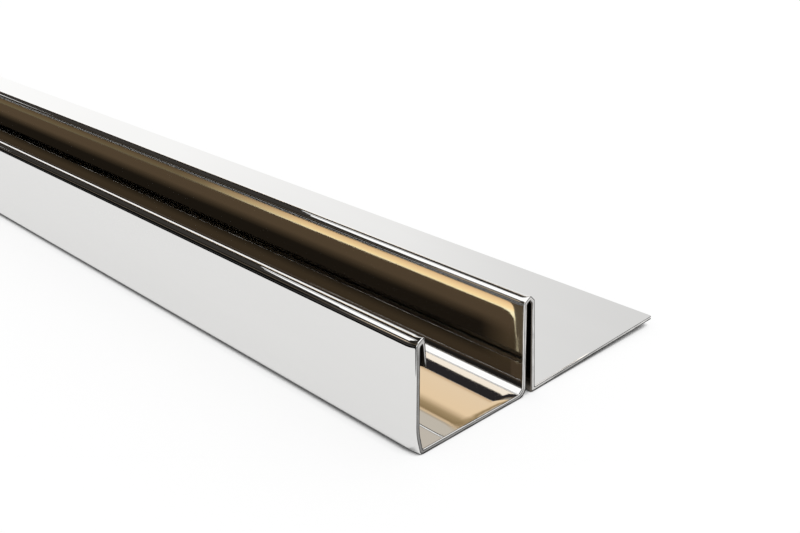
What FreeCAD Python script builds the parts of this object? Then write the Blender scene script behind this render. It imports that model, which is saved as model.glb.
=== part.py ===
"""U-channel profile of folded sheet, built from the sizes of its spreadsheet.

One strip of stainless sheet is folded lengthwise. Its section, from the front, is a short hem
turned down into the channel, the front wall, the channel floor, the rear wall, a tight fold that
brings the sheet back down behind the rear wall, and a flange that leads away from the channel.

Frame: millimetres, Z up. X runs along the stock, with the cut end that the picture shows at +X.
Y runs across it, from the front wall to the free edge of the flange. The origin is under the
middle of the stock, at the level of its underside.
"""
import FreeCAD, Part
import math
import os
import Sketcher
from FreeCAD import Vector

doc = FreeCAD.newDocument("u_channel_profile")

# Driving dimensions: lengths in millimetres, angles in degrees.
SIZES = {
    # Thickness of the sheet.
    "sheet_thickness": 1.0,
    # Length of the stock.
    "stock_length": 1000.0,
    # Front face to the rearmost point of the bend under the rear wall.
    "channel_width": 30.0,
    # Underside to the top of the hem on the front wall.
    "front_height": 23.0,
    # Underside to the top of the fold on the rear wall.
    "rear_height": 21.0,
    # Free width of the flange behind the doubled rear wall.
    "flange_width": 41.0,
    # Top of the hem to the cut edge of its leg.
    "hem_depth": 5.8,
    # Open gap between the front wall and the leg of the hem.
    "hem_gap": 0.7,
    # Open gap between the two sheets of the rear wall.
    "fold_gap": 1.2,
    # Inside radius of the bend between the front wall and the channel floor.
    "front_bend_radius": 2.0,
    # Inside radius of the bend between the channel floor and the rear wall.
    "rear_bend_radius": 0.8,
    # Inside radius of the bend between the rear wall and the flange.
    "flange_bend_radius": 0.5,
    # Lean of the rear wall toward the front wall, left by springback.
    "rear_lean": 3.0,
    # Rise of the flange toward its free edge, left by springback.
    "flange_rise": 1.8,
}
sizes = doc.addObject("Spreadsheet::Sheet", "sizes")
for row, (alias, number) in enumerate(SIZES.items(), start=1):
    sizes.set("A%d" % row, alias)
    sizes.set("B%d" % row, str(number))
    sizes.setAlias("B%d" % row, alias)
doc.recompute()

body = doc.addObject("PartDesign::Body", "folded_profile")
body.Label = "folded_profile"

# The section is drawn across the stock: its first axis is Y and its second is Z. Its origin is at
# the foot of the front wall, and the attachment sets the stock's middle over the body's origin.
section = body.newObject("Sketcher::SketchObject", "section")
section.AttachmentSupport = [
    (next(f for f in body.Origin.OriginFeatures if f.Role == "YZ_Plane"), "")
]
section.MapMode = "FlatFace"
OVERALL_WIDTH = "(sizes.channel_width + sizes.fold_gap + sizes.sheet_thickness + sizes.flange_width)"
section.setExpression("AttachmentOffset.Base.x", "-%s / 2" % OVERALL_WIDTH)


def size(alias):
    """Return the number that the spreadsheet now holds for a size."""
    return float(sizes.get(alias))


def along(heading):
    """Return the unit vector of a heading, an angle from Y toward Z."""
    return Vector(math.cos(heading), math.sin(heading), 0)


def leftward(heading):
    """Return the unit vector to the left of a heading."""
    return Vector(-math.sin(heading), math.cos(heading), 0)


sheet = size("sheet_thickness")
up = math.pi / 2
leaning = up + math.radians(size("rear_lean"))
rising = math.radians(size("flange_rise"))

# The strip is followed from the cut edge of the hem to the free edge of the flange. The face on its
# left is the channel floor's top, and the face on its right is the floor's underside.
HEADINGS = [up, -up, 0.0, leaning, leaning - math.pi, rising]
BEND_RADII = [
    "sizes.hem_gap / 2",
    "sizes.front_bend_radius",
    "sizes.rear_bend_radius",
    "sizes.fold_gap / 2",
    "sizes.flange_bend_radius",
]
radii = [
    size("hem_gap") / 2,
    size("front_bend_radius"),
    size("rear_bend_radius"),
    size("fold_gap") / 2,
    size("flange_bend_radius"),
]

# Only the fold at the top of the rear wall turns right, so only there is the left face outside.
TURNS_LEFT = [True, True, True, False, True]

# The centres of the bends follow from the outer sizes. The fold and the last bend are stepped off
# square to the leaning rear wall, and then along it to their own heights.
square = -leftward(leaning)
rear_centre = Vector(size("channel_width") - sheet - radii[2], sheet + radii[2], 0)
fold_centre = rear_centre + square * (radii[2] + sheet + radii[3])
fold_height = size("rear_height") - sheet - radii[3]
fold_centre += along(leaning) * ((fold_height - fold_centre.y) / math.sin(leaning))
flange_centre = fold_centre + square * (radii[3] + sheet + radii[4])
flange_centre += along(leaning) * ((sheet + radii[4] - flange_centre.y) / math.sin(leaning))
centres = [
    Vector(sheet + radii[0], size("front_height") - sheet - radii[0], 0),
    Vector(sheet + radii[1], sheet + radii[1], 0),
    rear_centre,
    fold_centre,
    flange_centre,
]


def face_radius(bend, left_face):
    """Return the radius of one face of the sheet round a bend."""
    inside = left_face == TURNS_LEFT[bend]
    return radii[bend] if inside else radii[bend] + sheet


def bend_point(bend, heading, left_face):
    """Return the point of a bend where one face of the sheet has the given heading."""
    side = -1 if TURNS_LEFT[bend] else 1
    return centres[bend] + leftward(heading) * (side * face_radius(bend, left_face))


def bend_arc(bend, left_face):
    """Return the arc that one face of the sheet follows round a bend."""
    quarter = -up if TURNS_LEFT[bend] else up
    ends = [HEADINGS[bend] + quarter, HEADINGS[bend + 1] + quarter]
    if not TURNS_LEFT[bend]:
        ends.reverse()
    if ends[1] < ends[0]:
        ends[1] += 2 * math.pi
    circle = Part.Circle(centres[bend], Vector(0, 0, 1), face_radius(bend, left_face))
    return Part.ArcOfCircle(circle, *ends)


def draw_face(left_face):
    """Draw one face of the sheet. Return the numbers of its straights and of its arcs."""
    hem_edge = bend_point(0, HEADINGS[0], left_face)
    hem_edge.y = size("front_height") - size("hem_depth")
    reach = size("channel_width") + size("fold_gap") + sheet + size("flange_width")
    last = bend_point(4, rising, False)
    last += along(rising) * ((reach - last.x) / math.cos(rising))
    if left_face:
        last += leftward(rising) * sheet
    starts = [hem_edge] + [bend_point(i, HEADINGS[i + 1], left_face) for i in range(5)]
    ends = [bend_point(i, HEADINGS[i], left_face) for i in range(5)] + [last]
    straights = [section.addGeometry(Part.LineSegment(a, b), False) for a, b in zip(starts, ends)]
    arcs = [section.addGeometry(bend_arc(i, left_face), False) for i in range(5)]
    for i in range(5):
        first, second = (1, 2) if TURNS_LEFT[i] else (2, 1)
        section.addConstraint(Sketcher.Constraint("Tangent", straights[i], 2, arcs[i], first))
        section.addConstraint(Sketcher.Constraint("Tangent", arcs[i], second, straights[i + 1], 1))
    return straights, arcs


def bind(name, formula, *constraint):
    """Add a constraint, and bind its value to sizes of the spreadsheet."""
    index = section.addConstraint(Sketcher.Constraint(*constraint))
    section.renameConstraint(index, name)
    section.setExpression("Constraints." + name, formula)


left, left_arcs = draw_face(True)
right, right_arcs = draw_face(False)

# Both faces of the sheet turn about the same centre in each bend, one sheet thickness apart.
for i, formula in enumerate(BEND_RADII):
    section.addConstraint(Sketcher.Constraint("Coincident", left_arcs[i], 3, right_arcs[i], 3))
    outside = "%s + sizes.sheet_thickness" % formula
    for arcs, left_face in ((left_arcs, True), (right_arcs, False)):
        inside = left_face == TURNS_LEFT[i]
        name = "bend%d_%s" % (i + 1, "inside" if inside else "outside")
        bind(name, formula if inside else outside, "Radius", arcs[i], face_radius(i, left_face))

# The two cut edges of the strip are square to its faces.
for i, end in ((0, 1), (5, 2)):
    points = [section.getPoint(line[i], end) for line in (left, right)]
    cut = section.addGeometry(Part.LineSegment(*points), False)
    section.addConstraint(Sketcher.Constraint("Coincident", cut, 1, left[i], end))
    section.addConstraint(Sketcher.Constraint("Coincident", cut, 2, right[i], end))
    section.addConstraint(Sketcher.Constraint("Perpendicular", cut, left[i]))
    section.addConstraint(Sketcher.Constraint("Parallel", left[i], right[i]))

# The front wall stands on the vertical axis, and the floor's underside lies on the horizontal one.
section.addConstraint(Sketcher.Constraint("Vertical", right[1]))
section.addConstraint(Sketcher.Constraint("PointOnObject", right[1], 1, -2))
section.addConstraint(Sketcher.Constraint("Horizontal", right[2]))
section.addConstraint(Sketcher.Constraint("PointOnObject", right[2], 1, -1))

# The hem's leg runs beside the front wall, and the two sheets of the rear wall beside each other.
section.addConstraint(Sketcher.Constraint("Parallel", right[0], right[1]))
section.addConstraint(Sketcher.Constraint("Parallel", right[3], right[4]))
bind("rear_lean", "90 deg + sizes.rear_lean * 1 deg", "Angle", right[3], leaning)
bind("flange_rise", "sizes.flange_rise * 1 deg", "Angle", right[5], rising)

# Heights and widths are set at the centres of the bends and at the two cut edges.
bind(
    "hem_top",
    "sizes.front_height - sizes.sheet_thickness - sizes.hem_gap / 2",
    "DistanceY", -1, 1, right_arcs[0], 3, centres[0].y,
)
bind(
    "hem_edge",
    "sizes.front_height - sizes.hem_depth",
    "DistanceY", -1, 1, right[0], 1, size("front_height") - size("hem_depth"),
)
bind(
    "rear_bend",
    "sizes.channel_width - sizes.sheet_thickness - sizes.rear_bend_radius",
    "DistanceX", -1, 1, right_arcs[2], 3, rear_centre.x,
)
bind(
    "fold_top",
    "sizes.rear_height - sizes.sheet_thickness - sizes.fold_gap / 2",
    "DistanceY", -1, 1, right_arcs[3], 3, fold_centre.y,
)
bind(
    "flange_foot",
    "sizes.sheet_thickness + sizes.flange_bend_radius",
    "DistanceY", -1, 1, right_arcs[4], 3, flange_centre.y,
)
bind(
    "flange_edge",
    OVERALL_WIDTH,
    "DistanceX", -1, 1, right[5], 2, section.getPoint(right[5], 2).x,
)
doc.recompute()

# The section is carried along the stock, half of its length to each side.
profile = body.newObject("PartDesign::Pad", "profile")
profile.Profile = section
profile.SideType = "Symmetric"
profile.setExpression("Length", "sizes.stock_length")
doc.recompute()

for item in doc.Objects:
    if "Invalid" in item.State or "Error" in item.State:
        raise RuntimeError("%s failed: %s" % (item.Label, item.State))
if not section.FullyConstrained:
    raise RuntimeError("the section can still move")

os.makedirs("parts", exist_ok=True)
for part in (body,):
    shape = part.Shape
    if shape.isNull() or not shape.isValid() or len(shape.Solids) != 1:
        raise RuntimeError("%s is not one valid solid" % part.Label)
    box = shape.BoundBox
    print("%s: %.2f x %.2f x %.2f mm" % (part.Label, box.XLength, box.YLength, box.ZLength))
    print("from (%.3f, %.3f, %.3f)" % (box.XMin, box.YMin, box.ZMin))
    print("volume %.1f mm3, section %.2f mm2" % (shape.Volume, shape.Volume / box.XLength))
    shape.exportStep("parts/%s.step" % part.Label)
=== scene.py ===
# %% [markdown]
# # A folded sheet-metal profile
#
# This is one strip of bright stainless sheet, 1 mm thick, folded along its length on a press brake.
# It is a U-shaped channel whose front wall ends in a hem, whose rear wall is doubled back on itself,
# and whose sheet then runs on as a flat flange.
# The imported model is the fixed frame. Everything made here sits in the same coordinates, in metres.

# %% Load the frame and keep its box
import math

import bpy
import numpy as np
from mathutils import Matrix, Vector


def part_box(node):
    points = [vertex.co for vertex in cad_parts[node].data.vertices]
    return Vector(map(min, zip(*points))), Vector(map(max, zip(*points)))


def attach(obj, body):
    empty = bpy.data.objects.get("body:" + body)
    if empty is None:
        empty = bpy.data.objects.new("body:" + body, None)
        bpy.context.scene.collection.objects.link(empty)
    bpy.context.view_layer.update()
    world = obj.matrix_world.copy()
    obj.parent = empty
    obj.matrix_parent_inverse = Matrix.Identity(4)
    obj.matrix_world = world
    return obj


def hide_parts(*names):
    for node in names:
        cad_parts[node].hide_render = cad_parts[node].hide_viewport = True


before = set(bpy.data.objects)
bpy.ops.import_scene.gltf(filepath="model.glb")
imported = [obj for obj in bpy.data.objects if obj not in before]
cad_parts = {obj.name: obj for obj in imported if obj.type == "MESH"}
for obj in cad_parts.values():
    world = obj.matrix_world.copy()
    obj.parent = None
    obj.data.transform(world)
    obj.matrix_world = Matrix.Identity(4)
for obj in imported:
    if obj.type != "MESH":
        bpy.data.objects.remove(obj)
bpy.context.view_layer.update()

MM = 0.001
low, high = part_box("folded_profile")
print("folded_profile from", [round(v, 4) for v in low], "to", [round(v, 4) for v in high])

# %% [markdown]
# ## The camera
#
# The picture is taken from close to the near end, a little above the stock, and it looks along and
# across it. A camera could be aimed by eye with a Track To constraint. Here its place, its two angles
# and its lens were worked out by fitting the known section to its corners in the picture, so they are
# written down as numbers. Blender's camera looks down its own -Z, so 90 degrees less the downward
# pitch is its turn about X.

# %% The camera
FRAME_SIZE = (800, 533)          # the picture, in pixels
FOCAL_PIXELS = 989.6
YAW, PITCH = math.radians(45.67), math.radians(23.51)

camera_data = bpy.data.cameras.new("camera")
camera_data.sensor_width = 36.0
camera_data.lens = FOCAL_PIXELS / FRAME_SIZE[0] * camera_data.sensor_width
camera_data.clip_start = 0.005
camera = bpy.data.objects.new("camera", camera_data)
camera.location = (0.60079, -0.13883, 0.09865)
camera.rotation_euler = (math.radians(90) - PITCH, 0.0, YAW)
bpy.context.scene.collection.objects.link(camera)
bpy.context.scene.camera = camera
print("lens", round(camera_data.lens, 2), "mm")

# %% [markdown]
# ## The two faces of the sheet
#
# A press brake bends a flat strip along straight lines, so each face of the sheet is a chain of
# straight runs and rounded corners. A bend isn't one plain arc: the sheet creeps into it, and the
# outside is rounder than the inside. So both faces get their own corner points, drawn as if every bend
# were sharp, and each corner has its own radius. A curve object with a bevel could make the section
# too, but then both faces would always have the same thickness between them.
# At the cut ends the shear has squeezed the two folds to a crest and pushed the front foot over, so the
# section has a second table for the cut. It starts as a copy, and only the corners that differ are
# written again.

# %% The corner points
# Each row is: channel-side face y, z, radius, then the other face y, z, radius, in mm.
ALONG_STOCK = np.array([
    (1.50, 17.20, 0.00, 2.68, 17.20, 0.00),        # free edge of the hem
    (1.80, 21.25, 0.15, 2.68, 22.13, 0.22),
    (1.62, 21.50, 0.15, 1.93, 22.45, 2.20),
    (1.25, 21.47, 0.15, 0.90, 22.41, 1.38),
    (1.00, 21.20, 0.20, 0.00, 21.64, 1.38),        # top of the front wall
    (1.00, 1.586, 1.00, 0.00, 1.17, 2.00),         # front foot
    (1.586, 1.00, 1.00, 1.17, 0.00, 2.00),
    (28.05, 1.00, 0.30, 28.973, 0.00, 1.80),       # rear foot
    (29.00, 1.90, 0.30, 30.038, 1.122, 1.80),
    (28.02, 20.22, 1.25, 29.064, 19.715, 0.60),    # rear fold
    (29.584, 21.16, 1.60, 29.645, 20.092, 0.60),
    (31.235, 20.32, 1.60, 30.262, 19.777, 0.60),
    (32.75, 1.001, 0.30, 31.65, -0.034, 0.45),     # flange foot
    (73.169, 2.271, 0.00, 73.20, 1.271, 0.00),     # free edge of the flange
])
AT_THE_CUT = ALONG_STOCK.copy()
AT_THE_CUT[0:5] = [(1.95, 17.25, 0.00, 2.60, 17.20, 0.00),
                   (1.50, 21.00, 0.50, 2.12, 22.10, 0.80),
                   (1.36, 21.55, 0.08, 1.75, 23.12, 0.28),
                   (1.10, 21.42, 0.10, 0.35, 22.33, 0.80),
                   (1.00, 21.20, 0.20, 0.00, 21.75, 0.80)]
AT_THE_CUT[5:7] = [(1.00, 4.70, 12.0, 0.00, 4.60, 13.0),
                   (1.85, 1.00, 0.40, 1.15, 0.00, 1.05)]
AT_THE_CUT[9:12] = [(28.014, 20.33, 0.60, 29.02, 19.75, 0.20),
                    (29.85, 21.38, 0.30, 29.75, 20.12, 0.15),
                    (31.15, 20.10, 0.50, 30.24, 19.50, 0.30)]
RUN_STEPS = (9, 1, 1, 1, 10, 3, 40, 3, 12, 1, 1, 12, 20)       # points on each straight run
BEND_STEPS = (12, 14, 14, 14, 8, 14, 12, 12, 14, 14, 14, 14)   # steps round each corner
EDGE_STEP = 0.08                 # the first step in from a free edge, mm


def left_of(heading):
    """Unit vectors a quarter turn to the left of the headings."""
    return np.stack([-np.sin(heading), np.cos(heading)], -1)


def face_chain(corners):
    """Points and headings of one face.

    Each corner is cut off at radius times the tangent of half its turn on both sides, and an arc about
    the centre, which lies square to the run at the radius, joins the two cuts. Runs are evenly spaced.
    """
    place, radius = corners[:, :2], corners[1:-1, 2]
    run = np.diff(place, axis=0)
    unit = run / np.linalg.norm(run, axis=1, keepdims=True)
    heading = np.unwrap(np.arctan2(run[:, 1], run[:, 0]))
    turn = np.diff(heading)
    cut = radius * np.tan(np.abs(turn) / 2)
    first = place[1:-1] - unit[:-1] * cut[:, None]
    centre = first + left_of(heading[:-1]) * (np.sign(turn) * radius)[:, None]
    points, headings = [place[:1], place[:1] + unit[0] * EDGE_STEP], [heading[:1], heading[:1]]
    start = points[-1][0]
    for i, steps in enumerate(RUN_STEPS):
        last_run = i == len(RUN_STEPS) - 1
        stop = place[-1] - unit[-1] * EDGE_STEP if last_run else first[i]
        t = np.arange(1, steps)[:, None] / steps
        points.append(start + (stop - start) * t)
        headings.append(np.full(steps - 1, heading[i]))
        if last_run:
            points.append(np.stack([stop, place[-1]]))
            headings.append(heading[[i, i]])
            break
        swing = np.linspace(heading[i], heading[i + 1], BEND_STEPS[i] + 1)
        points.append(centre[i] - left_of(swing) * np.sign(turn[i]) * radius[i])
        headings.append(swing)
        start = points[-1][-1]
    return np.vstack(points), np.concatenate(headings)


channel_face, channel_heading = face_chain(ALONG_STOCK[:, :3])
other_face, other_heading = face_chain(ALONG_STOCK[:, 3:])
channel_cut, channel_cut_heading = face_chain(AT_THE_CUT[:, :3])
other_cut, other_cut_heading = face_chain(AT_THE_CUT[:, 3:])
middle = (channel_face + other_face) / 2
length = np.r_[0.0, np.cumsum(np.hypot(*np.diff(middle, axis=0).T))]
print(len(middle), "points on each face, strip width", round(float(length[-1]), 2), "mm")

# %% [markdown]
# ## What the shear does at the cut
#
# Four things change towards a cut end. Over the last few millimetres the section runs into the squeezed
# one. The channel floor droops there by less than a tenth of a millimetre, which is enough to bend the
# dark bands that it mirrors. Right at the cut the shear draws the faces down into a small rolled edge,
# which a mirror finish shows as a bright and a dark line. And the faces waver a little. All of it could
# be sculpted. As functions of the place along the stock, the amounts are exact and easy to change.

# %% Functions of the place along the stock
HALF_LENGTH = 500.0
HEM_REACH, FOLD_REACH = 2.8, 1.7 # how far the squeezed section reaches in from the cut, mm
BETWEEN = 45.0                   # a place on the strip between the hem and the rear fold, mm
ROLL_REACH, ROLL_DEPTH = 0.26, 0.17
ROLL_SHARE = 0.97                # the quarter ellipse stops here, short of its upright end
WAVER_REACH, WAVER_DEPTH = 3.0, 0.004
DROOP_REACH, DROOP_DEPTH = 2.0, 0.088
DROOP_COMES, DROOP_GOES = (38.0, 49.0), (51.0, 55.0)   # places on the strip where it comes and goes, mm


def ease(t):
    """Zero below 0, one above 1, and 3 t squared minus 2 t cubed between."""
    t = np.clip(t, 0.0, 1.0)
    return t * t * (3 - 2 * t)


def ease_over(s, limits):
    """The same rise, over the distance between two limits."""
    return ease((s - limits[0]) / (limits[1] - limits[0]))


def from_cut(x, reach):
    """1 at a cut end, falling evenly to 0 at this distance from it."""
    return np.clip(1 - (HALF_LENGTH - np.abs(x)) / reach, 0.0, 1.0)


def squeeze(x, s):
    """Share of the squeezed section: the square of the nearness to the cut."""
    return from_cut(x, np.where(s < BETWEEN, HEM_REACH, FOLD_REACH)) ** 2


def drawn_in(x, s):
    """How far a face is drawn in at x along the stock and s along the strip, mm.

    It is the sum of three parts. The roll is depth times (1 - root of 1 - nearness squared), a quarter
    ellipse. The waver is depth times nearness squared times two sines of s. The droop is depth times
    nearness squared, on the rear half of the channel floor only.
    """
    roll = ROLL_DEPTH * (1 - np.sqrt(1 - (ROLL_SHARE * from_cut(x, ROLL_REACH)) ** 2))
    ripple = np.sin(1.3 * s + 1.0) + 0.6 * np.sin(3.1 * s)
    waver = WAVER_DEPTH * from_cut(x, WAVER_REACH) ** 2 * ripple
    rear_half = ease_over(s, DROOP_COMES) * (1 - ease_over(s, DROOP_GOES))
    droop = DROOP_DEPTH * from_cut(x, DROOP_REACH) ** 2 * rear_half
    return roll + waver + droop


print("drawn in at the cut", round(float(drawn_in(HALF_LENGTH, 40.0)), 3), "mm")

# %% [markdown]
# ## The long faces as a grid
#
# One parameter runs along the stock and the other round the section: down one face of the sheet, round
# the free edge, back up the other face and round the other free edge. An array is filled for all points
# at once. Near the two ends the rows lie closer, because the faces change shape there, and the two
# corners of a free edge are rounded like the edge of any cut sheet.

# %% Rows, columns and the grid of points
SECTION_Y = -36.6                # y of the section's own zero in the frame, mm
ROUND_FROM = 0.84                # place across the sheet where the rounding of a free edge starts
ACROSS = np.array([1, 0.96, ROUND_FROM, 0.5, 0.0, -0.5, -ROUND_FROM, -0.96, -1])
EDGE_RADIUS = 0.08               # radius of the two free edges, mm
END_ROWS = np.array([0, 0.006, 0.015, 0.03, 0.05, 0.075, 0.105, 0.14, 0.18, 0.22, 0.26, 0.4, 0.55, 0.75,
                     1.0, 1.3, 1.5, 1.7, 2.0, 2.4, 2.8, 3.0, 4.5, 7, 12, 20, 35, 60, 100, 150, 210, 280,
                     350, 420])  # distances from an end, mm
near_rows = HALF_LENGTH - END_ROWS
rows = np.r_[-near_rows, 0.0, near_rows[::-1]]


def edge_drop(h):
    """How far the free edge lies back at the place h across it, mm: a quarter circle near each face."""
    offset = np.clip((np.abs(h) - ROUND_FROM) / (1 - ROUND_FROM), 0.0, 1.0)
    return EDGE_RADIUS * (1 - np.sqrt(1 - offset ** 2))


def blended(x, index, plain, cut):
    """Points of the section along the stock, run into the same points of the section at the cut."""
    share = squeeze(x, length[index])[..., None]
    return plain[index] * (1 - share) + cut[index] * share


def sheet_point(x, index, h, slide=0.0):
    """A point of the sheet, mm: along the stock x, chain point index, and h from +1 to -1 across.

    Both face points are moved inwards by drawn_in, and h takes the point from one to the other. Near a
    free edge it also slides back along the strip.
    """
    pull = drawn_in(x, length[index])[..., None]
    heading = channel_heading[index]
    upper = blended(x, index, channel_face, channel_cut) - left_of(heading) * pull
    lower = blended(x, index, other_face, other_cut) + left_of(other_heading[index]) * pull
    along_strip = np.stack([np.cos(heading), np.sin(heading)], -1)
    h, slide = np.asarray(h)[..., None], np.asarray(slide)[..., None]
    place = (upper * (1 + h) + lower * (1 - h)) / 2 - along_strip * slide
    return np.stack([np.broadcast_to(x, place.shape[:-1]), place[..., 0] + SECTION_Y, place[..., 1]], -1)


last = len(middle) - 1
inner = ACROSS[1:-1]
ring_index = np.r_[np.arange(last + 1), np.full(len(inner), last), np.arange(last, -1, -1),
                   np.zeros(len(inner), int)]
ring_h = np.r_[np.ones(last + 1), inner, -np.ones(last + 1), inner[::-1]]
at_edge = (ring_index == last) * 1.0 - (ring_index == 0) * 1.0
ring_slide = at_edge * edge_drop(ring_h)
ring = len(ring_index)
long_grid = sheet_point(rows[:, None], ring_index[None], ring_h[None], ring_slide[None])
print("long faces", long_grid.shape[:2])

# %% [markdown]
# ## The cut ends
#
# A cut end shows the thickness of the sheet all along the section. A shear cuts the first half of the
# thickness clean and tears the rest, so the torn half lies back by a few hundredths of a millimetre.
# Each end is a second grid, from face to face. Its border uses the points that the long faces already
# have there, so the whole surface is closed without a seam. A filled outline would close it too, but
# such a face is flat and can't have the torn zone.

# %% The cut ends, and one list of vertices
TORN_DEPTH, TORN_FROM, TORN_OVER = 0.05, 0.15, 0.5   # mm, and places across the sheet
cap_rows, cap_columns = last + 1, len(ACROSS)
inside = np.arange(1, last)


def cap_points(end):
    """The points inside one cut end, mm: flush with the end, less the torn zone."""
    index, h = np.meshgrid(inside, inner, indexing="ij")
    uneven = 1 + 0.5 * np.sin(9.0 * length[index])
    grid = sheet_point(end * HALF_LENGTH, index, h)
    grid[..., 0] -= end * TORN_DEPTH * ease((TORN_FROM - h) / TORN_OVER) * uneven
    return grid


def cap_index(row, offset):
    """Vertex numbers of one cut end as a grid: its border is the ring of that row, its inside is new."""
    grid = np.zeros((cap_rows, cap_columns), int)
    first = row * ring
    grid[:, 0] = first + np.arange(cap_rows)
    grid[:, -1] = first + cap_rows + len(inner) + np.arange(last, -1, -1)
    grid[last, 1:-1] = first + cap_rows + np.arange(len(inner))
    grid[0, 1:-1] = first + 2 * cap_rows + len(inner) + np.arange(len(inner))[::-1]
    grid[1:-1, 1:-1] = offset + np.arange((cap_rows - 2) * len(inner)).reshape(cap_rows - 2, -1)
    return grid


long_count = len(rows) * ring
far_cap, near_cap = cap_points(-1.0), cap_points(1.0)
per_cap = far_cap.shape[0] * far_cap.shape[1]
vertices = np.vstack([long_grid.reshape(-1, 3), far_cap.reshape(-1, 3), near_cap.reshape(-1, 3)])
print(len(vertices), "vertices")

# %% [markdown]
# ## Faces, all turned outwards
#
# Every four neighbours of a grid make one quad. The order of its corners decides which way it faces, so
# one of the two cut ends is written the other way round. Half the cross product of a quad's diagonals
# is its area, pointing outwards. Summed against the quads' centres it gives three times the volume,
# which is a good test: an inside-out shell would come out negative.

# %% Faces and volume


def grid_quads(grid):
    """Quads of a grid of vertex numbers, each running down the first axis and then along the second."""
    return np.stack([grid[:-1, :-1], grid[1:, :-1], grid[1:, 1:], grid[:-1, 1:]], -1).reshape(-1, 4)


long_index = np.arange(long_count).reshape(len(rows), ring)
long_quads = grid_quads(np.c_[long_index, long_index[:, :1]])
far_quads = grid_quads(cap_index(0, long_count))
near_quads = grid_quads(cap_index(len(rows) - 1, long_count + per_cap))[:, ::-1]
quads = np.vstack([long_quads, far_quads, near_quads])
corner = vertices[quads]
area = np.cross(corner[:, 2] - corner[:, 0], corner[:, 3] - corner[:, 1]) / 2
volume = float((corner.mean(1) * area).sum() / 3)
print(len(quads), "quads, volume", round(volume / 1000, 2), "cm3")

# %% [markdown]
# ## Normals for a mirror
#
# Smooth shading takes each vertex normal as a mean of its faces. Next to a bend that mean leans a
# little, and a mirror turns the lean into a wavy reflection. A Weighted Normal modifier would cure most
# of it. Here the surface is a formula, so its exact slopes are known, and they are handed to the mesh
# as custom normals. Only the free edges and the cut ends use the mean, weighted by area.

# %% Exact normals on the long faces
normals = np.zeros_like(vertices)
np.add.at(normals, quads.ravel(), np.repeat(area, 4, axis=0))

STEP = 0.002                     # step for slopes along the stock, mm


def face_normals(x, index, plain, cut, plain_heading, cut_heading, side):
    """Normals of one face: its square direction in the section, less its slope along the stock.

    The slope is how fast the face moves outwards per millimetre of x, from the run between the two
    sections and from drawn_in.
    """
    share = squeeze(x, length[index])[..., None]
    square = side * (left_of(plain_heading[index]) * (1 - share) + left_of(cut_heading[index]) * share)
    square = square / np.linalg.norm(square, axis=-1, keepdims=True)
    ahead, behind = x + STEP, x - STEP
    grow = (squeeze(ahead, length[index]) - squeeze(behind, length[index])) / (2 * STEP)
    draw = (drawn_in(ahead, length[index]) - drawn_in(behind, length[index])) / (2 * STEP)
    slope = ((cut[index] - plain[index]) * square).sum(-1) * grow - draw
    found = np.concatenate([-slope[..., None], square], -1)
    return found / np.linalg.norm(found, axis=-1, keepdims=True)


slope_rows, chain_index = np.meshgrid(np.clip(rows, -HALF_LENGTH + STEP, HALF_LENGTH - STEP),
                                      np.arange(cap_rows), indexing="ij")
other_start = cap_rows + len(inner)
long_normals = normals[:long_count].reshape(len(rows), ring, 3)
long_normals[:, :cap_rows] = face_normals(slope_rows, chain_index, channel_face, channel_cut,
                                          channel_heading, channel_cut_heading, 1.0)
long_normals[:, other_start:other_start + cap_rows] = face_normals(
    slope_rows, chain_index, other_face, other_cut, other_heading, other_cut_heading, -1.0)[:, ::-1]
normals /= np.linalg.norm(normals, axis=1, keepdims=True)
print("normals set for", len(normals), "vertices")

# %% [markdown]
# ## The mesh
#
# Besides its points and faces the mesh gets an attribute, "strip": for each point the place along the
# stock, the place along the strip and the place across its thickness. That is where the point was in
# the flat sheet, and a material can read it as easily as a UV map. The cut ends and the free edges get
# the second material.

# %% The mesh
strip_place = np.zeros_like(vertices)
strip_place[:long_count] = np.stack([np.repeat(rows, ring), np.tile(length[ring_index], len(rows)),
                                     np.tile(ring_h, len(rows))], -1)
for number, grid in enumerate((far_cap, near_cap)):
    part = slice(long_count + number * per_cap, long_count + (number + 1) * per_cap)
    strip_place[part, 0] = grid[..., 0].ravel()
    strip_place[part, 1] = np.repeat(length[inside], len(inner))
    strip_place[part, 2] = np.tile(inner, len(inside))

mesh = bpy.data.meshes.new("folded_strip")
mesh.from_pydata((vertices * MM).tolist(), [], quads.tolist())
mesh.polygons.foreach_set("use_smooth", np.ones(len(quads), bool))
place = mesh.attributes.new("strip", "FLOAT_VECTOR", "POINT")
place.data.foreach_set("vector", strip_place.ravel())
column = np.arange(len(long_quads)) % ring
on_flange_edge = (column >= cap_rows) & (column < other_start - 1)
on_hem_edge = column >= other_start + cap_rows
on_cut = np.ones(len(far_quads) + len(near_quads), bool)
mesh.polygons.foreach_set("material_index", np.r_[on_flange_edge | on_hem_edge, on_cut].astype(np.int32))
mesh.update()
mesh.normals_split_custom_set_from_vertices(normals)
strip = bpy.data.objects.new("folded_strip", mesh)
bpy.context.scene.collection.objects.link(strip)
print("triangles", 2 * len(quads))

# %% [markdown]
# ## Node helpers
#
# A material is a small network. These helpers keep the cells short: one adds a node, sets its options
# and joins or fills its inputs, one starts a material, and the others each stand for one kind of node.

# %% Node helpers


def add(tree, kind, inputs=None, **options):
    """Adds a node. Inputs that are sockets are linked, and plain values are set."""
    made = tree.nodes.new(kind)
    for name, value in options.items():
        setattr(made, name, value)
    for name, value in (inputs or {}).items():
        if isinstance(value, bpy.types.NodeSocket):
            tree.links.new(value, made.inputs[name])
        else:
            made.inputs[name].default_value = value
    return made


def math_node(tree, operation, a, b=0.0):
    """The result socket of a Math node."""
    return add(tree, "ShaderNodeMath", {0: a, 1: b}, operation=operation).outputs[0]


def product(tree, first, *others):
    """The product of several values."""
    for other in others:
        first = math_node(tree, "MULTIPLY", first, other)
    return first


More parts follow.
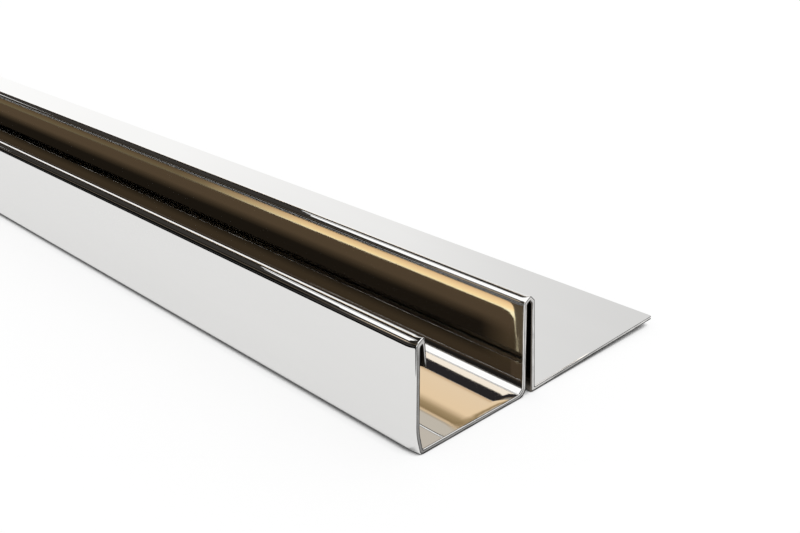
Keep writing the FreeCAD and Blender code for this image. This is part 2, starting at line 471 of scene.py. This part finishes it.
def ranged(tree, value, low_in, high_in, low_out=0.0, high_out=1.0):
    """The value, taken from one range to another and held at its ends."""
    return add(tree, "ShaderNodeMapRange", {"Value": value, "From Min": low_in, "From Max": high_in,
                                            "To Min": low_out, "To Max": high_out}).outputs[0]


def blend(tree, factor, first, second, kind="MIX"):
    """The colour of a Mix node. A plain colour is written as red, green and blue."""
    first, second = ((*colour, 1.0) if isinstance(colour, tuple) else colour for colour in (first, second))
    return add(tree, "ShaderNodeMix", {"Factor": factor, 6: first, 7: second}, data_type="RGBA",
               blend_type=kind).outputs[2]


def noise(tree, vector, size, detail=2.0, rough=0.5):
    """A noise texture whose grains have these sizes along X, Y and Z, in the units of the vector."""
    scaled = add(tree, "ShaderNodeVectorMath", {0: vector, 1: tuple(1 / v for v in size)},
                 operation="MULTIPLY").outputs[0]
    return add(tree, "ShaderNodeTexNoise", {"Vector": scaled, "Scale": 1.0, "Detail": detail,
                                            "Roughness": rough}).outputs["Fac"]


def new_material(name):
    """A material with an empty network and an output node."""
    material = bpy.data.materials.new(name)
    material.use_nodes = True
    material.node_tree.nodes.clear()
    output = material.node_tree.nodes.new("ShaderNodeOutputMaterial")
    return material, material.node_tree, output


def strip_parts(tree):
    """The three parts of the strip attribute: along the stock, along the strip (mm) and across it."""
    place = add(tree, "ShaderNodeAttribute", attribute_name="strip").outputs["Vector"]
    parts = add(tree, "ShaderNodeSeparateXYZ", {0: place}).outputs
    return place, parts["X"], parts["Y"], parts["Z"]


print("helpers ready")

# %% [markdown]
# ## Polished sheet
#
# Mirror-bright stainless steel is a metal with very low roughness. On its own that looks like a
# computer's chrome. The real sheet keeps traces of its making: long, almost flat waves from the rolling
# mill, hair-thin polishing lines along the stock, faint wiping haze, and a band of fine specks beside
# the cut where the shear marked it. They are noises on Object coordinates, stretched along X, and each
# is given its size in metres.
#
# The sheet is polished before it is folded. Inside both gaps the faces are painted dark as painted shade:
# one dark grey in the fold's gap, and in the hem's gap a brown that turns almost black near the cut and
# far from it. In the hem's gap the sheet is also no longer metal, so it is dull. The strip attribute says
# where a gap is, whichever way the sheet is turned.

# %% The polished sheet
FOLD_GAP = (54.6, 55.6, 97.5, 98.5)   # places on the strip where the rear fold's gap fades in and out, mm
HEM_GAP_ENDS = (10.4, 10.6)
# Painted shade: the colours of the faces inside the fold's gap and inside the hem's gap.
FOLD_GAP_SHADE, HEM_GAP_SHADE, DEEP_GAP_SHADE = (0.16, 0.14, 0.12), (0.16, 0.125, 0.085), (0.012, 0.010, 0.008)

polished, tree, output = new_material("polished_sheet")
coordinates = add(tree, "ShaderNodeTexCoord").outputs["Object"]
along_x = add(tree, "ShaderNodeSeparateXYZ", {0: coordinates}).outputs["X"]
mill_wave = noise(tree, coordinates, (0.110, 0.018, 0.018), 1.0)
hairline = noise(tree, coordinates, (0.030, 0.00016, 0.00016), 2.0)
haze = noise(tree, coordinates, (0.060, 0.009, 0.009), 3.0)
specks = noise(tree, coordinates, (0.00022, 0.00022, 0.00022), 2.0)
beside_cut = ranged(tree, math_node(tree, "ABSOLUTE", along_x), 0.4974, 0.4992)

_, at_x, at_strip, at_across = strip_parts(tree)
fold_gap_shade_mask = product(tree, ranged(tree, at_across, -0.9, -1.0), ranged(tree, at_strip, *FOLD_GAP[:2]),
                  ranged(tree, at_strip, *FOLD_GAP[:1:-1]))
hem_gap_shade_mask = product(tree, ranged(tree, at_across, 0.9, 1.0), ranged(tree, at_strip, *HEM_GAP_ENDS[::-1]))
# The hem gap's painted shade: brown a little way in from the near cut, almost black right at it and further
# in.
gap_shade = blend(tree, ranged(tree, at_x, 478.0, 488.0), HEM_GAP_SHADE, DEEP_GAP_SHADE)
gap_shade = blend(tree, ranged(tree, at_x, 180.0, 420.0), DEEP_GAP_SHADE, gap_shade)
clean = blend(tree, haze, (0.752, 0.748, 0.738), (0.725, 0.721, 0.711))
shade = blend(tree, hem_gap_shade_mask, blend(tree, fold_gap_shade_mask, clean, FOLD_GAP_SHADE), gap_shade)
gloss = math_node(tree, "ADD", ranged(tree, haze, 0.35, 0.75, 0.006, 0.018),
                  product(tree, beside_cut, 0.006))

wave_bump = add(tree, "ShaderNodeBump", {"Height": mill_wave, "Strength": 1.0, "Distance": 0.000006})
line_bump = add(tree, "ShaderNodeBump", {"Height": hairline, "Strength": 1.0, "Distance": 0.00000012,
                                         "Normal": wave_bump.outputs[0]})
speck_bump = add(tree, "ShaderNodeBump", {"Height": specks, "Strength": product(tree, beside_cut, 0.16),
                                          "Distance": 0.000004, "Normal": line_bump.outputs[0]})
shader = add(tree, "ShaderNodeBsdfPrincipled", {
    "Base Color": shade, "Metallic": ranged(tree, hem_gap_shade_mask, 0.0, 1.0, 1.0, 0.0),
    "Specular IOR Level": ranged(tree, hem_gap_shade_mask, 0.0, 1.0, 0.5, 0.02), "Roughness": gloss,
    "Normal": speck_bump.outputs[0]})
tree.links.new(shader.outputs[0], output.inputs["Surface"])
strip.data.materials.append(polished)
print("polished sheet:", len(tree.nodes), "nodes")

# %% [markdown]
# ## Sheared edge
#
# The cut ends and the two free edges show the inside of the sheet. A shear leaves fine marks across the
# thickness: bright and smooth where it cut, dull and grainy where the metal tore. The marks read the
# strip attribute, so they follow the sheet round its bends, which Object coordinates can't do. Along
# the strip the tone changes from wall to wall, partly the cut's own finish and partly painted shade, and
# both rims are painted dark along the roll-over as painted shade. The hem's free edge points down into the
# channel, and its painted shade is a dull dark brown that is not metal.

# %% The sheared edge
# Places on the strip in mm, and the tone of the cut there, partly its own finish and partly painted shade.
RUN_TONES_AND_SHADE = ((0.0, 0.10), (0.55, 0.10), (0.7, 0.62), (6.0, 0.62), (8.0, 0.34), (25.0, 0.34), (30.0, 0.36),
             (54.0, 0.40), (58.0, 0.80), (101.0, 0.80), (104.0, 0.40))
TONE_SPAN = 145.0                # the ramp's whole length on the strip, mm

sheared, tree, output = new_material("sheared_edge")
place, at_x, at_strip, at_across = strip_parts(tree)
torn = ranged(tree, at_across, 0.25, -0.2)
marks = noise(tree, place, (4.0, 0.10, 1.6), 3.0)
grain = noise(tree, place, (0.3, 0.16, 0.22), 3.0, 0.6)
stain = noise(tree, place, (3.0, 2.4, 2.0), 2.0)
relief = add(tree, "ShaderNodeMix", {"Factor": torn, 2: marks, 3: grain}, data_type="FLOAT").outputs[0]
mottle = math_node(tree, "ADD", product(tree, stain, 0.5), product(tree, relief, 0.5))

run_tone_and_shade = add(tree, "ShaderNodeValToRGB", {"Fac": ranged(tree, at_strip, 0.0, TONE_SPAN)})
for at, value in RUN_TONES_AND_SHADE:
    element = run_tone_and_shade.color_ramp.elements.new(at / TONE_SPAN)
    element.color = (value, value, value, 1.0)
# Painted shade: both rims of a cut are made dark.
dark_rim_shade = ranged(tree, math_node(tree, "ABSOLUTE", at_across), 0.52, 0.68, 1.0, 0.05)
metal = blend(tree, ranged(tree, mottle, 0.3, 0.7), (0.55, 0.54, 0.53), (1.0, 0.985, 0.96))
metal = blend(tree, 1.0, blend(tree, 1.0, run_tone_and_shade.outputs[0], dark_rim_shade, "MULTIPLY"), metal, "MULTIPLY")

# Painted shade: the hem's free edge is a dull dark brown, darker away from the near cut and towards one face.
on_hem = ranged(tree, at_strip, 0.05, 0.02)
hem_edge_shade = blend(tree, ranged(tree, at_x, 452.0, 468.0), (0.08, 0.062, 0.042), (0.25, 0.19, 0.12))
hem_edge_shade_depth = product(tree, ranged(tree, at_across, -0.97, -0.75, 0.15, 1.0),
                    ranged(tree, at_x, 180.0, 420.0, 0.1, 1.0))
hem_edge_shade = blend(tree, 1.0, hem_edge_shade, hem_edge_shade_depth, "MULTIPLY")
bump = add(tree, "ShaderNodeBump", {"Height": relief, "Strength": 0.7, "Distance": 0.00003})
shader = add(tree, "ShaderNodeBsdfPrincipled", {
    "Base Color": blend(tree, on_hem, metal, hem_edge_shade), "Metallic": ranged(tree, on_hem, 0.0, 1.0, 1.0, 0.0),
    "Specular IOR Level": ranged(tree, on_hem, 0.0, 1.0, 0.5, 0.02),
    "Roughness": ranged(tree, torn, 0.0, 1.0, 0.32, 0.55), "Normal": bump.outputs[0]})
tree.links.new(shader.outputs[0], output.inputs["Surface"])
strip.data.materials.append(sheared)
print("sheared edge:", len(tree.nodes), "nodes")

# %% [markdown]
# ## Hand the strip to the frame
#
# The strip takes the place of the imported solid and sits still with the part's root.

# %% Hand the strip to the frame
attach(strip, "root")
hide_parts("folded_profile")
print("folded_strip stands for folded_profile")

# %% [markdown]
# ## The light
#
# A mirror has no look of its own: it shows the studio. The world is plain white at strength 1, so a
# colour renders about as it is written, and the metal sees that white too. What gives the metal its
# form are a few cards near it, as a photographer would stand them round a polished part.
# The studio is measured from the foot of the near end, as the section is, so that a card's place can be
# compared with the section's corners.

# %% The world
world = bpy.data.worlds.new("studio")
bpy.context.scene.world = world
world.use_nodes = True
world.node_tree.nodes["Background"].inputs["Color"].default_value = (1, 1, 1, 1)
world.node_tree.nodes["Background"].inputs["Strength"].default_value = 1.0
bpy.context.scene.view_settings.view_transform = "Standard"

SHIFT = {"X": HALF_LENGTH, "Y": SECTION_Y, "Z": 0.0}   # from studio places to the frame, mm


def stage_plane(name, corners, material):
    """A flat card of the studio with any number of corners in mm."""
    plane_mesh = bpy.data.meshes.new(name)
    origin = Vector(SHIFT.values())
    plane_mesh.from_pydata([(Vector(c) + origin) * MM for c in corners], [], [tuple(range(len(corners)))])
    plane_mesh.materials.append(material)
    plane = bpy.data.objects.new(name, plane_mesh)
    bpy.context.scene.collection.objects.link(plane)
    return plane


print("world and studio frame ready")

# %% [markdown]
# ## The floor
#
# The floor is pale and keeps a soft shadow. Part of its brightness is its own glow, so that it reads
# white where nothing covers it. An Ambient Occlusion node takes the glow away within a few millimetres
# of the stock, as in the thin contact shadow under a real one. For glossy rays a dark strip lies on the
# floor in front of the stock: it draws the black line under the hem that makes the bright edge read as
# metal.

# %% The floor
FLOOR_HALF = 9000                # mm

floor_paint, tree, output = new_material("floor_paper")
spot = add(tree, "ShaderNodeTexCoord").outputs["Object"]
at_y = add(tree, "ShaderNodeSeparateXYZ", {0: spot}).outputs["Y"]
in_front = product(tree, ranged(tree, at_y, -0.0646, -0.0650), ranged(tree, at_y, -0.150, -0.190, 1.0, 0.93))
rays = add(tree, "ShaderNodeLightPath")
dark_here = product(tree, in_front, rays.outputs["Is Glossy Ray"])
open_sky = add(tree, "ShaderNodeAmbientOcclusion", {"Distance": 0.004}, samples=8).outputs["AO"]
glow = add(tree, "ShaderNodeEmission", {"Strength": ranged(tree, open_sky, 0.28, 0.55, 0.02, 0.80)})
paper = add(tree, "ShaderNodeBsdfDiffuse", {"Color": (0.21, 0.21, 0.21, 1)})
lit = add(tree, "ShaderNodeAddShader", {0: glow.outputs[0], 1: paper.outputs[0]})
black = add(tree, "ShaderNodeEmission", {"Color": (0.02, 0.02, 0.02, 1), "Strength": 0.3})
mixed = add(tree, "ShaderNodeMixShader", {"Fac": dark_here, 1: lit.outputs[0], 2: black.outputs[0]})
tree.links.new(mixed.outputs[0], output.inputs["Surface"])
stage_plane("floor", [(-FLOOR_HALF, -FLOOR_HALF, 0), (FLOOR_HALF, -FLOOR_HALF, 0),
                      (FLOOR_HALF, FLOOR_HALF, 0), (-FLOOR_HALF, FLOOR_HALF, 0)], floor_paint)
print("floor laid")

# %% [markdown]
# ## How a card is made
#
# A card is a glowing plane whose colour runs along one axis. It is seen only by glossy rays, so it
# doesn't light the floor, casts no shadow and never stands in the picture. Image textures would do the
# same, but a colour ramp has exact edges in millimetres, and an edge in the studio is a line on the
# metal.

# %% The card function


def ramp(tree, value, stops):
    """A colour ramp over stops of (place in metres, colour)."""
    start, end = stops[0][0], stops[-1][0]
    made = add(tree, "ShaderNodeValToRGB", {"Fac": ranged(tree, value, start, end)})
    elements = made.color_ramp.elements
    while len(elements) < len(stops):
        elements.new(0.5)
    for element, (at, colour) in zip(elements, stops):
        element.position = (at - start) / (end - start)
        element.color = (*colour, 1.0)
    return made.outputs[0]


def grey(v):
    """A grey of this brightness."""
    return (v, v, v)


def upright(y, x0, x1, z0, z1):
    """The corners of an upright card at this y."""
    return [(x0, y, z0), (x1, y, z0), (x1, y, z1), (x0, y, z1)]


def card(name, corners, axis, stops, strength=1.0, fade=None, patch=None):
    """A glowing card whose colour runs along one axis by stops in mm.

    fade is another axis with stops of brightness that dim it. patch is a second colour with two such
    axes, and the product of their brightness is its share.
    """
    material, tree, output = new_material(name)
    spot = add(tree, "ShaderNodeTexCoord").outputs["Object"]
    parts = add(tree, "ShaderNodeSeparateXYZ", {0: spot}).outputs

    def along(way, places):
        shifted = [((at + SHIFT[way]) * MM, c if isinstance(c, tuple) else grey(c)) for at, c in places]
        return ramp(tree, parts[way], shifted)

    colour = along(axis, stops)
    if fade:
        colour = blend(tree, 1.0, colour, along(*fade), "MULTIPLY")
    if patch:
        patch_colour, first_way, second_way = patch
        colour = blend(tree, product(tree, along(*first_way), along(*second_way)), colour, patch_colour)
    glow = add(tree, "ShaderNodeEmission", {"Color": colour, "Strength": strength})
    tree.links.new(glow.outputs[0], output.inputs["Surface"])
    plane = stage_plane(name, corners, material)
    for kind in ("camera", "diffuse", "transmission", "volume_scatter", "shadow"):
        setattr(plane, "visible_" + kind, False)


BACK, FRONT, TOP = 150.0, -300.0, 600.0      # planes of the cards, mm
FAR, NEAR, EDGE = -2600.0, 900.0, -152.5     # places along the stock, mm
WHITE, BLACK = (1.0, 1.0, 1.0), (0.02, 0.018, 0.016)
print("planes at", BACK, FRONT, "and", TOP, "mm")

# %% [markdown]
# ## Behind the stock
#
# These cards fill the channel's mirrors, from the floor up: a white card with a warm top edge, which is
# the bright stripe in the rear foot, a dark gap above it, a golden lamp whose right end has the curved
# outline of the bright line beside the cut, and a brown room with a darker middle.

# %% The cards behind
BROWN, DARK_BROWN, SOOT = (0.175, 0.12, 0.07), (0.024, 0.018, 0.012), (0.048, 0.044, 0.048)
SIDE_BROWN, SIDE_PALE = (0.20, 0.155, 0.10), (0.68, 0.62, 0.54)
# The right end of the lamp as x, z in mm.
GOLD_EDGE = [(-161, 121.8), (-157, 122.3), (-155, 123.1), (-153.8, 124.0), (-152.9, 125.2), (-152.5, 127),
             (-152.25, 129), (-151.9, 132), (-151.5, 139.8), (-150.4, 144.2), (-148.8, 146.2),
             (-148.8, 145.9), (-150.25, 143.9), (-151.3, 139.5), (-151.7, 132), (-152.0, 129),
             (-152.2, 126.5), (-152.4, 123), (-152.6, 120.5), (-153.2, 118.6), (-154.4, 117.6),
             (-157, 117.2)]

card("low_white_card", upright(BACK, FAR, NEAR, 0, 103), "X",
     [(-600, 0.86), (-320, 0.83), (-160, 0.77), (-100, 0.68), (-50, 0.64)], 1.4)
card("warm_top_edge", upright(BACK, FAR, NEAR, 103, 108.5), "Z",
     [(103, (1, 0.93, 0.85)), (108.5, (1, 0.9, 0.78))], 2.2)
card("dark_gap", upright(BACK, FAR, NEAR, 108.5, 117.3), "Z",
     [(108.5, SOOT), (115, SOOT), (116, BROWN), (117.3, BROWN)])
card("gold_lamp", [(FAR, BACK, 117.2), (FAR, BACK, 121.8), *[(x, BACK, z) for x, z in GOLD_EDGE]], "Z",
     [(116.8, (0.5, 0.34, 0.17)), (118.2, (0.8, 0.55, 0.30)), (121, (1.0, 0.76, 0.40)),
      (121.8, (1.0, 0.9, 0.6))], 2.4,
     fade=("X", [(-520, 0.12), (-430, 0.14), (-400, 0.2), (-340, 0.55), (-300, 0.85), (-150, 1.0)]))
card("brown_room", upright(BACK + 0.5, FAR, EDGE - 0.5, 117.3, 290), "Z",
     [(117.3, BROWN), (129.5, BROWN), (136, (0.13, 0.09, 0.05)), (148, (0.095, 0.066, 0.037)),
      (155, (0.088, 0.061, 0.036)), (163, BLACK), (290, BLACK)],
     patch=(DARK_BROWN, ("Z", [(129, 0), (135.5, 1), (145, 1), (151, 0)]),
            ("X", [(-300, 1), (-174, 1), (-157, 0)])))
card("speckled_side", upright(BACK + 1, EDGE - 2, -45, 108.5, 290), "Z",
     [(108.5, (0.10, 0.075, 0.045)), (120, SIDE_BROWN), (143, SIDE_BROWN), (147, (0.13, 0.09, 0.055)),
      (290, (0.13, 0.10, 0.07))])
card("pale_side", upright(BACK, -146.3, -45, 118, 142), "Z", [(118, SIDE_PALE), (142, SIDE_PALE)])
card("high_back", [(FAR, BACK, 290), (-385, BACK, 290), (-1640, BACK, 1500), (FAR, BACK, 1500)], "Z",
     [(290, BLACK), (1500, BLACK)], 2.0)
card("back_high", upright(BACK, -385, NEAR, 290, 560), "Z", [(290, BLACK), (560, BLACK)])
print("gold lamp has", len(GOLD_EDGE) + 2, "corners")

# %% [markdown]
# ## Overhead and in front
#
# Overhead hangs a soft box with a dark ceiling round it. The tops of both folds are small round
# mirrors, so they shrink the soft box to a white line between two black ones. The panel in front is
# seen in the channel floor by way of the rear wall: it is the tan field, the gold line and the grey
# triangle there.

# %% The cards overhead and in front
TAN_GREY = (0.575, 0.527, 0.459)
WALL_BROWN = (0.11, 0.08, 0.056)

card("soft_box", [(-620, -400, TOP), (NEAR, -400, TOP), (NEAR, 80, TOP), (-693, 80, TOP)], "Y",
     [(-400, WHITE), (80, WHITE)], 1.35)
card("dark_ceiling", [(-1500, -400, TOP), (-620, -400, TOP), (-693, 80, TOP), (NEAR, 80, TOP),
                      (NEAR, BACK, TOP), (-1500, BACK, TOP)], "Y", [(-300, BLACK), (150, BLACK)], 2.5)
card("dark_ceiling_front", [(-1500, -900, TOP), (NEAR, -900, TOP), (NEAR, -400, TOP), (-1500, -400, TOP)],
     "Y", [(-900, BLACK), (-300, BLACK)], 2.0)
card("front_panel", upright(FRONT, FAR, -60, 0, 255.5), "Z",
     [(0, BLACK), (140, BLACK), (150, 0.10), (200, 0.10), (206, BLACK), (211, (0.6, 0.42, 0.25)),
      (213, (0.86, 0.67, 0.46)), (230, (0.87, 0.66, 0.43)), (235.5, (0.40, 0.29, 0.16)),
      (240.8, (0.26, 0.18, 0.09)), (242, (1.0, 0.76, 0.5)), (243, (0.38, 0.30, 0.2)), (244.5, TAN_GREY),
      (255.5, TAN_GREY)], 1.6, fade=("X", [(-600, 0.16), (-350, 0.16), (-326, 1.0)]))
card("front_high", upright(FRONT, FAR, NEAR, 255.5, 490), "Z",
     [(255.5, BLACK), (285, BLACK), (290, WALL_BROWN), (296.2, WALL_BROWN), (297.2, BLACK), (490, BLACK)])
